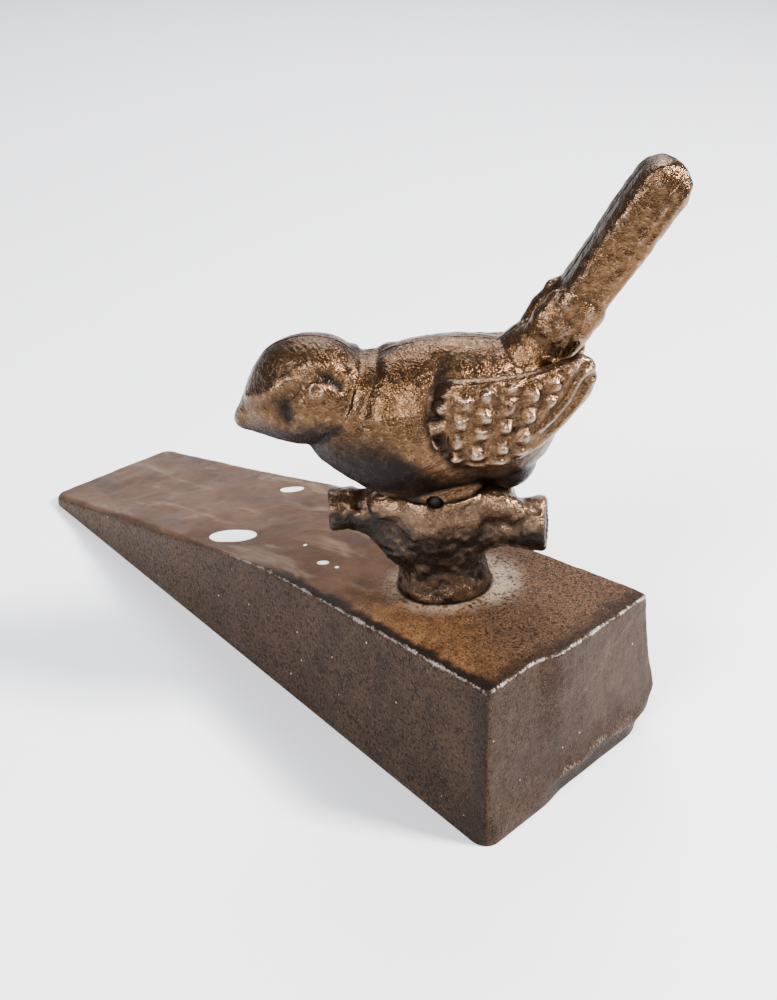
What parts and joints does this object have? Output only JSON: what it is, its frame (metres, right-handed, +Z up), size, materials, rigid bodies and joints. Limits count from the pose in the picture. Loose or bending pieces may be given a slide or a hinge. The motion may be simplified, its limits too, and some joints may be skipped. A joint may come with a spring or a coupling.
{
  "type": "door stop",
  "caption": "Cast-iron wedge door stop with a bird figure on a sawn branch, bolted through the wedge so that it can be turned.",
  "frame": {"origin": "middle of the flat underside, on the floor, halfway between toe and heel", "axes": "+X from the thin toe to the heel, +Y across the wedge, +Z up"},
  "size_m": [0.15, 0.059, 0.1041],
  "materials": {
    "wedge_iron": "brown lacquer over a sand-cast skin, rubbed bright on the edges",
    "branch_iron": "dark bronze lacquer, glossy, rubbed on the high spots",
    "bird_iron": "antique bronze lacquer over a grainy casting, rubbed golden on the high spots",
    "screw_steel": "bronze lacquer worn off around the slot",
    "pin_steel": "blackened",
    "fastener_steel": "dull zinc plating"
  },
  "bodies": {
    "base": {"wedge_base": "wedge_iron"},
    "figure": {"branch_perch": "branch_iron", "bird_left_half": "bird_iron", "bird_right_half": "bird_iron", "halves_screw": "screw_steel", "locating_pin": "pin_steel", "tie_bolt": "fastener_steel", "spring_washer": "fastener_steel", "plain_washer": "fastener_steel", "tie_nut": "fastener_steel"}
  },
  "joints": [
    {"name": "figure_swivel", "type": "hinge", "parent": "base", "child": "figure", "pos_m": [0.0415, 0, 0.02692], "axis": [-0.1046, 0, 0.9945], "continuous": true}
  ]
}
